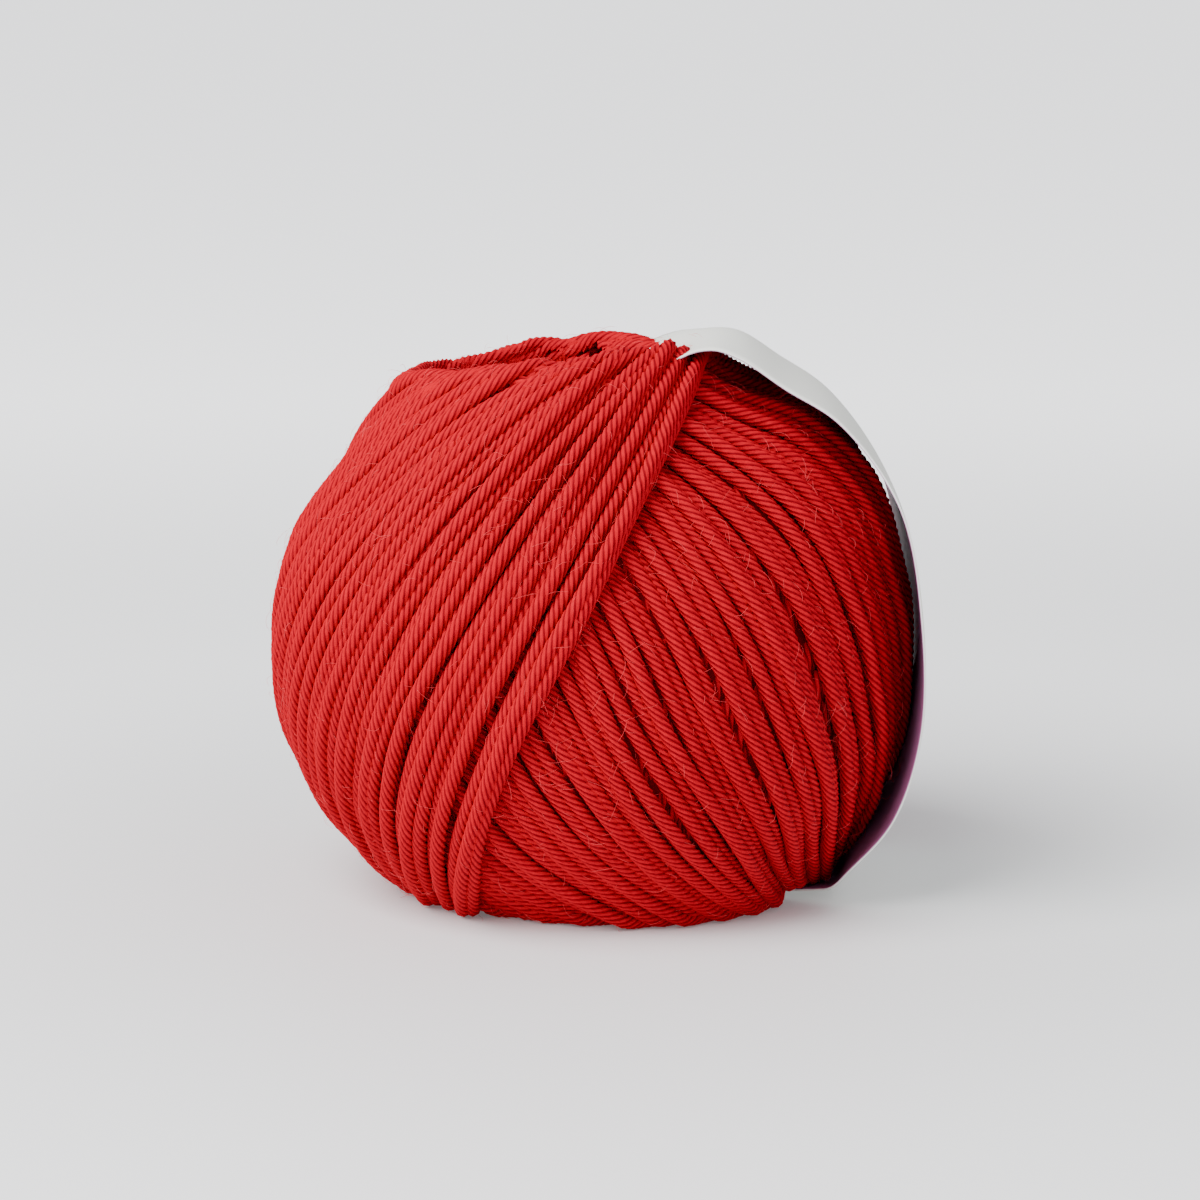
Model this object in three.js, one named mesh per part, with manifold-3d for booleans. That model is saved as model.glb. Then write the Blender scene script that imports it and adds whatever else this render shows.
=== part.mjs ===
// A machine-wound ball of merino yarn with a paper band round one side of it.
// Millimetres, +Z up, standing on z = 0. The band lies on the +X side.
import * as THREE from 'three';
import { mergeVertices } from 'three/addons/utils/BufferGeometryUtils.js';
import Module from 'manifold-3d';

const degrees = Math.PI / 180;

// Whole ball
const centreX = -0.5;           // the ball is a little left of the origin, the band a little right
const centreHeight = 30.4;      // the widest level above the floor; the bottom is pressed flat
const lean = 6.5 * degrees;     // the top leans towards -X

// The soft ball settles: below its widest level it spreads, and creeps towards +X
const spread = 0.035;
const spreadDepth = 20;
const creepRate = 0.12;
const creepStart = 6;

// Meridian of the wound form, from the middle of the centre hole, up the hollow, over the rim
// and down to the widest level. Radius from the ball's axis, height above the widest level.
// The lower half is the same, turned over.
const meridian = [
  { radius: 10.8, height: 6 },
  { radius: 11.0, height: 15 },
  { radius: 12.0, height: 23 },
  { radius: 13.6, height: 30 },
  { radius: 15.8, height: 35.2 },
  { radius: 18.8, height: 37.2 },
  { radius: 22.8, height: 34.6 },
  { radius: 29.2, height: 27.9 },
  { radius: 35.0, height: 19.6 },
  { radius: 38.9, height: 10.2 },
  { radius: 40.2, height: 0 },
];
const widestRadius = 40.2;
const rimHeight = 37.2;
const rimRadius = 18.8;
const throatHeight = 20;        // below this the hole's wall is smooth

// Turns. Each turn climbs one side of the ball as far as the rim of the hollow and comes down the
// other, so its slope fixes the rim. The last turns climb across the -X half and come down the +X
// half, and the ball is thickest beside the last one.
const turnLean = 28.5 * degrees;    // slope of a turn from upright, at the widest level
const lastTurn = -96.6 * degrees;   // where the last turn crosses the widest level, at the front
const layerThickness = 2.4;         // growth of the ball as the turns go once round it
const rimLayerShare = 0.55;         // the same growth at the rims, where the turns crowd together
const ridgeCount = 24;              // bundles of turns round the ball
const ridgeDepth = 1.1;
const ridgeDrift = 0.05;            // turn of the ridges, per millimetre, down into the hollow

const columnCount = 120;
const rowCount = 42;

// Where the band passes, the turns are pressed in: how deep at the rim, at the widest level and
// low down, and how far round. The rim is also lower away from the band.
const bandAzimuth = -12 * degrees;
const rimPress = 3.4;
const midPress = 1.5;
const lowPress = 3.4;
const hollowPress = 2.6;
const bandHalfAngle = 45 * degrees;
const rimHalfAngle = 90 * degrees;
const hollowHalfAngle = 130 * degrees;
const rimFall = 1.3;
const rimFallAzimuth = 150 * degrees;

// Under the ball the band lies in a shallow bed
const bedHeight = 2.6;
const bedStart = 0;

// Paper band. Outside the ball its middle line runs round the +X side: angle up from the widest
// level, distance from the ball's centre, how far the two edges droop towards that centre, and
// how far the near edge rises over the middle. All of it lies a little aside, towards the viewer.
const bandWidth = 36;
const bandThickness = 1.0;
const outerAside = -5;
const outerRun = [
  { angle: -40, distance: 41.3, droop: 2.2, rise: 0.7 },
  { angle: -28, distance: 41.4, droop: 0.7, rise: 0 },
  { angle: -12, distance: 41.0, droop: 0.6, rise: 0 },
  { angle: 8, distance: 40.7, droop: 0.8, rise: 0 },
  { angle: 28, distance: 41.6, droop: 0.3, rise: 0 },
  { angle: 45, distance: 42.2, droop: 0.7, rise: 0 },
  { angle: 56, distance: 42.1, droop: 1.2, rise: 0 },
];
// Over the rim and down the centre hole it curls round the wall: distance of its middle from the
// ball's centre and height above the widest level, droop, how far it is curled, from flat (0) to
// following the wall (1), rise of the near edge, and its place aside.
const innerRun = [
  { reach: 18.2, height: 38.6, droop: 1.4, curl: 0.05, rise: 0.4, aside: -5 },
  { reach: 15.0, height: 38.9, droop: 1.1, curl: 0.12, rise: 0.9, aside: -5 },
  { reach: 12.6, height: 37.8, droop: 0.5, curl: 0.3, rise: 1.3, aside: -4.4 },
  { reach: 10.9, height: 35.2, droop: 0, curl: 0.66, rise: 2.8, aside: -3.2 },
  { reach: 9.2, height: 30.5, droop: -0.8, curl: 0.93, rise: 4.8, aside: -1.6 },
  { reach: 8.0, height: 25.5, droop: 0, curl: 1, rise: 1.5, aside: 0 },
  { reach: 7.4, height: 18, droop: 0, curl: 1, rise: 0, aside: 0 },
  { reach: 8.7, height: 5, droop: 0, curl: 1, rise: 0, aside: 0 },
  { reach: 10.6, height: -8, droop: 0, curl: 1, rise: 0, aside: 0 },
  { reach: 12.9, height: -17, droop: 0, curl: 1, rise: 0, aside: 0 },
  { reach: 15.2, height: -24, droop: 0, curl: 1, rise: 0, aside: -0.5 },
  { reach: 16.9, height: -28.2, droop: 0, curl: 1, rise: 0, aside: -1 },
];
// Under the ball it lies flat on the floor as it opens out
const floorRun = [
  { reach: 19.0, droop: 0, curl: 0.98, rise: 0, aside: -1.5 },
  { reach: 22.0, droop: 0, curl: 0.6, rise: 0, aside: -3 },
  { reach: 25.0, droop: 0.5, curl: 0.2, rise: 0.1, aside: -4 },
  { reach: 27.6, droop: 1.4, curl: 0, rise: 0.5, aside: -5 },
  { reach: 29.6, droop: 2.2, curl: 0, rise: 0.7, aside: -5 },
];
const bandSteps = 76;
const bandColumns = 10;

const yarnRed = 0xc4161c;
const paperCream = 0xdcdccf;

const wasm = await Module();
wasm.setup();

function toManifold(geometry) {
  const plain = geometry.clone();
  plain.deleteAttribute('normal');
  plain.deleteAttribute('uv');
  const merged = mergeVertices(plain);
  const mesh = new wasm.Mesh({
    numProp: 3,
    vertProperties: new Float32Array(merged.attributes.position.array),
    triVerts: new Uint32Array(merged.index.array),
  });
  return new wasm.Manifold(mesh);
}

function toGeometry(manifold) {
  const mesh = manifold.getMesh();
  const geometry = new THREE.BufferGeometry();
  geometry.setAttribute('position', new THREE.BufferAttribute(mesh.vertProperties, 3));
  geometry.setIndex(new THREE.BufferAttribute(mesh.triVerts, 1));
  geometry.computeVertexNormals();
  return geometry;
}

// A closed skin over rings of points: every ring has the same number, and the last joins the first.
function closedSkin(rings) {
  const ringLength = rings[0].length;
  const positions = rings.flat().flatMap((point) => point.toArray());
  const triangles = [];
  rings.forEach((ring, i) => {
    const here = i * ringLength;
    const next = ((i + 1) % rings.length) * ringLength;
    for (let j = 0; j < ringLength; j += 1) {
      const k = (j + 1) % ringLength;
      triangles.push(here + j, next + j, next + k);
      triangles.push(here + j, next + k, here + k);
    }
  });
  const geometry = new THREE.BufferGeometry();
  geometry.setAttribute('position', new THREE.Float32BufferAttribute(positions, 3));
  geometry.setIndex(triangles);
  return geometry;
}

function wrapDegrees(angle) {
  const turns = angle / (2 * Math.PI);
  return (turns - Math.floor(turns)) * 360;
}

function smoothStep(low, high, value) {
  return THREE.MathUtils.smoothstep(value, low, high);
}

// Azimuth that a turn gains as it climbs from the widest level to a height on the ball
function climbAzimuth(radius, height) {
  const slope = (height / radius) * Math.tan(turnLean);
  return Math.asin(THREE.MathUtils.clamp(slope, -1, 1));
}

// How deep the turns lie at one point: pressed in by the band, and lower away from it
function pressedIn(azimuth, height, inHollow) {
  const high = smoothStep(0.3 * rimHeight, rimHeight, height);
  const low = smoothStep(0.2 * rimHeight, 0.8 * rimHeight, -height);
  const deepest = inHollow ? Math.max(rimPress, hollowPress) : rimPress;
  const depth = midPress + (deepest - midPress) * high + (lowPress - midPress) * low;
  const turned = azimuth - bandAzimuth;
  const aside = Math.abs(Math.atan2(Math.sin(turned), Math.cos(turned)));
  const widest = inHollow ? hollowHalfAngle : rimHalfAngle;
  const halfAngle = THREE.MathUtils.lerp(bandHalfAngle, widest, Math.max(high, low));
  const byBand = 1 - smoothStep(0.4, 1, aside / halfAngle);
  const shoulder = smoothStep(0.4 * rimHeight, 0.8 * rimHeight, height);
  const away = shoulder * (0.5 + 0.5 * Math.cos(azimuth - rimFallAzimuth)) ** 3;
  return depth * byBand + rimFall * away;
}

// Height of the turns over the plain wound form at one point of it
function turnRelief(azimuth, radius, height, inHollow) {
  const climb = inHollow ? Math.sign(height) * (Math.PI / 2) : climbAzimuth(radius, height);
  const rising = wrapDegrees(lastTurn - azimuth + climb);
  const falling = wrapDegrees(lastTurn - azimuth - climb + Math.PI);
  const nearRim = inHollow ? 1 : smoothStep(0.5 * rimHeight, rimHeight, Math.abs(height));
  const layer = layerThickness * THREE.MathUtils.lerp(1, rimLayerShare, nearRim);
  const growth = layer * (1 - (rising + falling) / 360);
  const depth = inHollow ? rimHeight - Math.abs(height) : 0;
  const drift = Math.sign(height) * ridgeDrift * depth;
  const phase = rising < falling ? azimuth - climb - drift : azimuth + climb - drift;
  const crowding = Math.min(1, radius / (0.7 * widestRadius));
  const ridge = ridgeDepth * crowding * (Math.cos(ridgeCount * phase) - 1) * 0.5;
  const fade = inHollow ? smoothStep(throatHeight, rimHeight, Math.abs(height)) : 1;
  const pressed = pressedIn(azimuth, height, inHollow);
  const pressFade = inHollow ? smoothStep(throatHeight, throatHeight + 8, Math.abs(height)) : 1;
  return (growth + ridge) * fade - pressed * pressFade;
}

// How far the settled ball has moved towards +X at a height over its widest level
function creep(height) {
  const below = Math.max(-height, 0);
  return creepRate * (Math.hypot(below, creepStart) - creepStart);
}

// Leans a point of the upright ball, lets it settle and moves it to where the ball is
function setDown(point) {
  const leaned = point.applyAxisAngle(new THREE.Vector3(0, 1, 0), -lean);
  const wider = 1 + spread * smoothStep(0, spreadDepth, -leaned.z);
  return new THREE.Vector3(
    leaned.x * wider + creep(leaned.z) + centreX,
    leaned.y * wider,
    leaned.z + centreHeight,
  );
}

function woundForm() {
  const upper = meridian.map((row) => new THREE.Vector3(row.radius, 0, row.height));
  const lower = upper.slice(0, -1).reverse().map((p) => new THREE.Vector3(p.x, 0, -p.z));
  const curve = new THREE.CatmullRomCurve3([...upper, ...lower], true, 'centripetal');
  const rings = [];
  for (let i = 0; i < rowCount; i += 1) {
    const point = curve.getPointAt(i / rowCount);
    const tangent = curve.getTangentAt(i / rowCount);
    const inHollow = point.x < rimRadius;
    const ring = [];
    for (let j = 0; j < columnCount; j += 1) {
      const azimuth = (j / columnCount) * 2 * Math.PI;
      const relief = turnRelief(azimuth, point.x, point.z, inHollow);
      const radius = point.x - tangent.z * relief;
      const height = point.z + tangent.x * relief;
      const across = new THREE.Vector3(radius * Math.cos(azimuth), radius * Math.sin(azimuth), height);
      ring.push(setDown(across));
    }
    rings.push(ring);
  }
  return closedSkin(rings);
}

function block(sizeX, sizeY, sizeZ, x, y, z) {
  return new THREE.BoxGeometry(sizeX, sizeY, sizeZ).translate(x, y, z);
}

function yarnBall() {
  const reach = 120;
  const aboveFloor = toManifold(block(reach, reach, reach, 0, 0, reach / 2));
  const bed = toManifold(
    block(reach, bandWidth + 6, 2 * bedHeight, bedStart + reach / 2, outerAside, 0),
  );
  return toGeometry(toManifold(woundForm()).intersect(aboveFloor).subtract(bed));
}

// The leaning axis of the centre hole, at a height above the widest level
function axisAt(height) {
  return centreX - height * Math.tan(lean) + creep(height);
}

// Middle line of the band, once round, with the manner of its section at each point
function bandStations() {
  const outer = outerRun.map(({ angle, distance, ...manner }) => ({
    x: centreX + distance * Math.cos(angle * degrees),
    z: centreHeight + distance * Math.sin(angle * degrees),
    curl: 0,
    aside: outerAside,
    ...manner,
  }));
  const inner = innerRun.map(({ reach, height, ...manner }) => ({
    x: centreX + reach,
    z: centreHeight + height,
    ...manner,
  }));
  const floor = floorRun.map(({ reach, ...manner }) => ({
    x: centreX + reach,
    z: bandThickness / 2,
    ...manner,
  }));
  return [...outer, ...inner, ...floor];
}

// One point of the band's section: across runs from -1 to 1 over its width. A curled section is
// an arc round the axis of the hole, a flat one a straight line, and both keep the band's width.
function sectionPoint(station, across) {
  const half = (bandWidth / 2) * across;
  const reach = station.x - axisAt(station.z - centreHeight);
  const curvature = Math.max(station.curl, 1e-4) / reach;
  const turned = half * curvature;
  const droop = station.droop * across * across;
  const outward = new THREE.Vector2(station.x - centreX, station.z - centreHeight).normalize();
  return new THREE.Vector3(
    station.x - (1 - Math.cos(turned)) / curvature - droop * outward.x,
    station.aside + Math.sin(turned) / curvature,
    station.z - droop * outward.y - station.rise * across,
  );
}

function onFloor(point) {
  return point.setZ(Math.max(point.z, 0));
}

function paperBand() {
  const stations = bandStations();
  const through = (toPoint) => new THREE.CatmullRomCurve3(stations.map(toPoint), true, 'centripetal');
  const line = through((s) => new THREE.Vector3(s.x, s.aside, s.z));
  const manner = through((s) => new THREE.Vector3(s.droop, s.rise, s.curl));
  const steps = Array.from({ length: bandSteps }, (_, i) => {
    const along = line.getUtoTmapping(i / bandSteps);
    const place = line.getPoint(along);
    const state = manner.getPoint(along);
    return {
      x: place.x,
      z: Math.max(place.z, bandThickness / 2),
      aside: place.y,
      droop: state.x,
      rise: state.y,
      curl: THREE.MathUtils.clamp(state.z, 0, 1),
    };
  });
  const middle = steps.map((station) => (
    Array.from({ length: bandColumns + 1 }, (_, j) => sectionPoint(station, (2 * j) / bandColumns - 1))
  ));
  const rings = middle.map((row, i) => {
    const before = middle[(i + bandSteps - 1) % bandSteps];
    const after = middle[(i + 1) % bandSteps];
    const normals = row.map((_, j) => {
      const along = after[j].clone().sub(before[j]);
      const across = row[Math.min(j + 1, bandColumns)].clone().sub(row[Math.max(j - 1, 0)]);
      return across.cross(along).normalize().multiplyScalar(bandThickness / 2);
    });
    const outside = row.map((point, j) => onFloor(point.clone().add(normals[j])));
    const inside = row.map((point, j) => onFloor(point.clone().sub(normals[j])));
    return [...inside, ...outside.reverse()];
  });
  return closedSkin(rings);
}

function meshNamed(name, geometry, colour, roughness) {
  const material = new THREE.MeshStandardMaterial({ color: colour, roughness, metalness: 0 });
  const mesh = new THREE.Mesh(geometry, material);
  mesh.name = name;
  return mesh;
}

const ball = new THREE.Group();
ball.add(meshNamed('yarn_ball', yarnBall(), yarnRed, 0.9));
ball.add(meshNamed('paper_band', paperBand(), paperCream, 0.6));

export default ball;
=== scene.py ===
"""A machine-wound ball of merino yarn with a plain paper band looped through its centre hole.

The yarn is laid turn by turn round the ball's rim-to-rim form, each turn over the ones before it,
and every stretch that still shows is a plied strand. Sizes inside the functions are millimetres;
a piece is written in metres.
"""

import functools
import math

import bpy
import numpy as np
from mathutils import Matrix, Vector


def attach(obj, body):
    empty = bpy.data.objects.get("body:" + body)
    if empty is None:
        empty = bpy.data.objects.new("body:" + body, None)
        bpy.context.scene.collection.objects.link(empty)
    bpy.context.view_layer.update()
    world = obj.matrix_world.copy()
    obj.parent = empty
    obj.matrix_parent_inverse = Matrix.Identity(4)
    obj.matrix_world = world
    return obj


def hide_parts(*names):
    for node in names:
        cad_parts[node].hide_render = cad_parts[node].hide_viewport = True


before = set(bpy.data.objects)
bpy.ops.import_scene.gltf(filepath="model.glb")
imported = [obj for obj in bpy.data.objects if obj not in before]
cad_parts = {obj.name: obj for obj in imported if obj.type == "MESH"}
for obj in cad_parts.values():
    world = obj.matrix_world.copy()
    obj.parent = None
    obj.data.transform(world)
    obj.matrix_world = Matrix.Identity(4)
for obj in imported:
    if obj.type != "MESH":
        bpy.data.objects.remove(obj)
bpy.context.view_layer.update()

bl_info = {
    "name": "Merino Yarn Ball",
    "version": (1, 0, 0),
    "blender": (4, 5, 0),
    "location": "View3D > Sidebar > Yarn Ball",
    "description": "Winds a ball of plied merino yarn and loops a paper band through it",
    "category": "Add Mesh",
}

MM = 0.001

# Place of the ball's centre, and how far its axis leans towards -X
CENTRE_X = -0.5
CENTRE_Z = 30.4
LEAN = math.radians(6.5)

# Meridian of the wound form, from the middle of the centre hole up the hollow, over the rim and
# down to the widest level: radius from the axis, height above the widest level.
MERIDIAN = np.array([
    (10.8, 6.0),
    (11.0, 15.0),
    (12.0, 23.0),
    (13.6, 30.0),
    (15.8, 34.8),
    (18.8, 36.6),
    (22.8, 34.0),
    (29.2, 27.6),
    (35.0, 19.6),
    (38.9, 10.2),
    (40.3, 0.0),
])
RIM_HEIGHT = 36.6
MERIDIAN_STEPS = 2400

# How deep the band presses the turns in: at the rim, at the widest level and low down. Where its
# middle passes outside and at the rim, and half the angle that it takes up outside, at the rim and
# in the hollow. The press fades out between two shares of that half angle. Here and below, a
# range, a start or an end is the two places between which something sets in or ends.
RIM_PRESS = 2.4
MID_PRESS = 0.6
LOW_PRESS = 1.8
BAND_AZIMUTH = math.radians(-12)
RIM_AZIMUTH = math.radians(9)
BAND_HALF_ANGLE = math.radians(45)
RIM_HALF_ANGLE = math.radians(63)
HOLLOW_HALF_ANGLE = math.radians(125)
PRESS_FADE = (0.4, 1)
HIGH_RANGE = (0.6 * RIM_HEIGHT, RIM_HEIGHT)
LOW_RANGE = (0.2 * RIM_HEIGHT, 0.8 * RIM_HEIGHT)

# The shoulder below the rim stands out under the band, and the rim is lower away from it
SHOULDER = 1.7
SHOULDER_START = (4, 18)
SHOULDER_END = (26, 34)
RIM_FALL = 1.3
RIM_FALL_AZIMUTH = math.radians(150)
RIM_FALL_RANGE = (0.4 * RIM_HEIGHT, 0.8 * RIM_HEIGHT)

# The soft ball settles: below its widest level it spreads, and creeps towards +X
SPREAD = 0.035
SPREAD_DEPTH = 20
CREEP = 0.12
CREEP_START = 6

# The whole ball is a little twisted: azimuth gained per millimetre of height
TWIST = math.radians(0.25)

# Middle line of the paper band, once round. Outside the ball: angle up from the widest level,
# distance from the ball's centre, droop of the edges, rise of the near edge over the middle, and
# how far aside the middle lies. Inside: distance from the ball's centre and height, droop, curl
# from flat (0) to following the wall (1), rise, aside. Then along the floor, without the height.
OUTER_RUN = np.array([
    (-40, 41.7, 1.0, 0.4, 0.5),
    (-28, 41.7, 0.7, 0, -1.5),
    (-12, 40.8, 0.6, 0, -3),
    (8, 40.4, 0.8, 0, -4),
    (28, 41.6, 0.3, 0, -3.5),
    (45, 42.2, 0.7, 0, -2.5),
    (56, 41.7, 1.2, 0, -1.5),
])
INNER_RUN = np.array([
    (18.2, 37.9, 1.4, 0.05, 0.4, -0.5),
    (15.0, 38.2, 1.1, 0.1, 0.8, 0.2),
    (12.6, 37.2, 0.9, 0.25, 0.4, 0.6),
    (10.9, 34.8, 2.5, 0.66, -0.8, 0.9),
    (9.2, 30.5, 2.4, 0.93, -0.8, 0.6),
    (8.0, 25.5, 1, 1, -0.4, 0.3),
    (7.4, 18, 0, 1, 0, 0),
    (8.7, 5, 0, 1, 0, 0),
    (10.6, -8, 0, 1, 0, 0),
    (12.9, -17, 0, 1, 0, 0.6),
    (15.2, -24, 0, 1, 0, 2),
    (16.9, -28.2, 0, 1, 0, 4),
])
FLOOR_RUN = np.array([
    (19.0, 0, 0.98, 0, 6.5),
    (22.0, 0.2, 0.6, 0, 7.2),
    (25.0, 0.7, 0.2, 0.1, 6.4),
    (27.9, 1.1, 0, 0.4, 4.6),
    (30.3, 1.9, 0, 0.6, 2.6),
])

# Where the band runs under the ball, the yarn lies on it: its middle along Y and half its width,
# its level, the ranges along X in which it starts, lifts at its edges and leaves the floor, and
# the range across, in half widths, in which it ends
FLOOR_ASIDE = 6
BED_HALF_WIDTH = 18
BED_LEVEL = 0.5
BED_START = (4, 8)
BED_SIDE = (1.1, 1.3)
BED_EDGE_RISE = 1.2
BED_EDGE_RANGE = (14, 24)
BED_END_RISE = 3
BED_END_RANGE = (27, 32)

# Samples of a half turn, and the strands down the wall of each hollow: how many, their samples,
# how far they reach below and above the rim, their slope and how deep they lie
HALF_SAMPLES = 170
WALL_STRANDS = 35
WALL_SAMPLES = 80
WALL_REACH = (-26, 2.5)
WALL_SLOPE = math.radians(38)
WALL_DEPTH = 1.35

# The grid on which the highest strand is found: its step, and the radius at which its columns are
# one step apart
GRID_STEP = 0.4
GRID_RADIUS = 40.2

# Radius of a strand in the valleys between its plies, as a share of its full radius, and how far
# round it is built to either side of its outward direction
VALLEY = 0.77
SHOWN_ANGLE = math.radians(130)

# Fewest samples of a strand that shows, and how far apart the wool's pattern lies on two runs
SHORTEST_RUN = 4
RUN_STEP = 0.37

# The turns are shared out over pieces of like size. Later turns cover the earlier ones, so the
# pieces hold fewer turns towards the last.
PIECE_ENDS = np.array([0.3, 0.5, 0.65, 0.78, 0.9])

# The core: its depth below the wound form, its lowest level, and its points round the meridian
# and round the ball
CORE_DEPTH = 3.4
CORE_FLOOR = 3.5
CORE_GRID = (120, 180)

# Points of the band along it and across it
BAND_GRID = (260, 25)

# Places along a fibre, and corners of its section
FIBRE_PLACES = 6
FIBRE_SIDES = 3

# The light that stands for a window, in metres and watts
WINDOW_PLACE = (-0.45, -0.4, 0.7)
WINDOW_SIZE = 0.7
WINDOW_POWER = 17.0

# The camera: how far off and how high it stands, how much of the object's plane it takes in
# across, and where its middle lies from the ball's centre, to the right and up
CAMERA_DISTANCE = 500
CAMERA_ELEVATION = math.radians(10.2)
PICTURE_WIDTH = 150
PICTURE_MIDDLE = (0.75, 5.0)
SENSOR = 36


class YarnSettings(bpy.types.PropertyGroup):
    """Sizes and colour of the yarn and of its winding"""

    strand: bpy.props.FloatProperty(
        name="Strand", description="Diameter of the plied yarn",
        default=0.00192, min=0.001, unit="LENGTH", subtype="DISTANCE",
    )
    plies: bpy.props.IntProperty(
        name="Plies", description="Ridges round the strand", default=7, min=3,
    )
    ply_lead: bpy.props.FloatProperty(
        name="Ply lead", description="Length of strand in which a ply goes once round",
        default=0.0082, min=0.002, unit="LENGTH", subtype="DISTANCE",
    )
    turns_per_round: bpy.props.IntProperty(
        name="Turns per round", default=139, min=20,
        description="Turns laid while the winding goes once round the ball",
    )
    rounds: bpy.props.FloatProperty(
        name="Rounds", description="How often the winding goes round the ball",
        default=1.45, min=1,
    )
    turn_radius: bpy.props.FloatProperty(
        name="Turning radius", default=0.0176, min=0.005, unit="LENGTH", subtype="DISTANCE",
        description="How near the axis a turn comes at the rim of the hollow",
    )
    last_turn: bpy.props.FloatProperty(
        name="Last turn", description="Azimuth at which the last turn crosses the widest level",
        default=math.radians(-101), subtype="ANGLE",
    )
    colour: bpy.props.FloatVectorProperty(
        name="Wool", description="Colour of the lit plies", subtype="COLOR",
        size=3, min=0, max=1, default=(0.61, 0.0, 0.014),
    )
    # Painted shade: this colour is laid deep between the plies and on the core, where only shade
    # falls
    shade_colour: bpy.props.FloatVectorProperty(
        name="Between plies", description="Colour deep between the plies", subtype="COLOR",
        size=3, min=0, max=1, default=(0.17, 0.0, 0.006),
    )
    fibres: bpy.props.IntProperty(
        name="Fibres", description="Number of stray fibres", default=5200, min=1,
    )
    fibre: bpy.props.FloatProperty(
        name="Fibre", description="Thickness of a stray fibre",
        default=0.000036, min=0.00001, unit="LENGTH", subtype="DISTANCE",
    )
    fibre_colour: bpy.props.FloatVectorProperty(
        name="Fibre colour", description="Colour of the stray fibres", subtype="COLOR",
        size=3, min=0, max=1, default=(0.86, 0.07, 0.08),
    )


class BandSettings(bpy.types.PropertyGroup):
    """Sizes and colours of the paper band"""

    width: bpy.props.FloatProperty(
        name="Width", description="Width of the paper strip",
        default=0.036, min=0.01, unit="LENGTH", subtype="DISTANCE",
    )
    thickness: bpy.props.FloatProperty(
        name="Thickness", description="Thickness of the paper",
        default=0.00028, min=0.0001, unit="LENGTH", subtype="DISTANCE",
    )
    outside: bpy.props.FloatVectorProperty(
        name="Outside", description="Colour of the outer face", subtype="COLOR",
        size=3, min=0, max=1, default=(0.86, 0.86, 0.80),
    )
    inside: bpy.props.FloatVectorProperty(
        name="Inside", description="Colour of the inner face", subtype="COLOR",
        size=3, min=0, max=1, default=(0.36, 0.12, 0.27),
    )


def smooth_step(low, high, value):
    """0 below low, 1 above high, and 3 t squared less 2 t cubed between them."""
    t = np.clip((value - low) / (high - low), 0, 1)
    return t * t * (3 - 2 * t)


def even_curve(points, count, closed=False):
    """A smooth curve through rows of points, cut into even steps.

    Each span is a cubic between two points, with the mean slope of the neighbouring chords at
    each end, and spans are as long as the square root of their chords. The first two columns are
    the place; any others are carried along.
    """
    points = np.asarray(points, float)
    if closed:
        points = np.vstack([points[-1:], points, points[:2]])
    else:
        first = 2 * points[0] - points[1]
        last = 2 * points[-1] - points[-2]
        points = np.vstack([first, points, last])
    steps = np.sqrt(np.linalg.norm(np.diff(points[:, :2], axis=0), axis=1))[:, None]
    chords = np.diff(points, axis=0) / steps
    slopes = (chords[:-1] * steps[1:] + chords[1:] * steps[:-1]) / (steps[:-1] + steps[1:])
    start, end, span = points[1:-2], points[2:-1], steps[1:-1]
    span_samples = 60
    t = np.linspace(0, 1, span_samples, endpoint=False)[:, None, None]
    dense = (
        (2 * t**3 - 3 * t**2 + 1) * start + (3 * t**2 - 2 * t**3) * end
        + (t**3 - 2 * t**2 + t) * span * slopes[:-1] + (t**3 - t**2) * span * slopes[1:]
    )
    dense = np.vstack([dense.transpose(1, 0, 2).reshape(-1, points.shape[1]), end[-1:]])
    pieces = np.linalg.norm(np.diff(dense[:, :2], axis=0), axis=1)
    length = np.concatenate([[0], np.cumsum(pieces)])
    stops = np.linspace(0, length[-1], count, endpoint=not closed)
    return np.column_stack([np.interp(stops, length, column) for column in dense.T]), length[-1]


@functools.lru_cache(maxsize=1)
def meridian_table():
    """Distance along the meridian, radius, height and outward normal, at even steps.

    It starts in the middle of the centre hole and goes up, over the upper rim, down the outside
    and back in over the lower rim, which mirrors the upper one.
    """
    lower = MERIDIAN[-2::-1] * (1, -1)
    line, length = even_curve(np.vstack([MERIDIAN, lower]), MERIDIAN_STEPS, closed=True)
    tangent = np.roll(line, -1, axis=0) - np.roll(line, 1, axis=0)
    tangent /= np.linalg.norm(tangent, axis=1)[:, None]
    along = np.arange(len(line)) * length / len(line)
    return along, line[:, 0], line[:, 1], -tangent[:, 1], tangent[:, 0]


def on_meridian(along):
    """Radius, height and outward normal at distances along the meridian."""
    table = meridian_table()
    return [np.interp(along, table[0], column) for column in table[1:]]


def leaned(points):
    """Turns points of the upright ball by its lean, about its own centre."""
    x, y, z = points[..., 0], points[..., 1], points[..., 2]
    return np.stack([
        x * math.cos(LEAN) - z * math.sin(LEAN),
        y,
        x * math.sin(LEAN) + z * math.cos(LEAN),
    ], axis=-1)


def creep(height):
    """How far the settled ball has moved towards +X at a height over its widest level."""
    below = np.maximum(-height, 0)
    return CREEP * (np.sqrt(below**2 + CREEP_START**2) - CREEP_START)


def set_down(points):
    """Leans points of the upright ball, lets them settle and moves them to where the ball is."""
    points = leaned(points)
    x, y, z = points[..., 0], points[..., 1], points[..., 2]
    spread = 1 + SPREAD * smooth_step(0, SPREAD_DEPTH, -z)
    return np.stack([x * spread + creep(z) + CENTRE_X, y * spread, z + CENTRE_Z], axis=-1)


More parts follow.
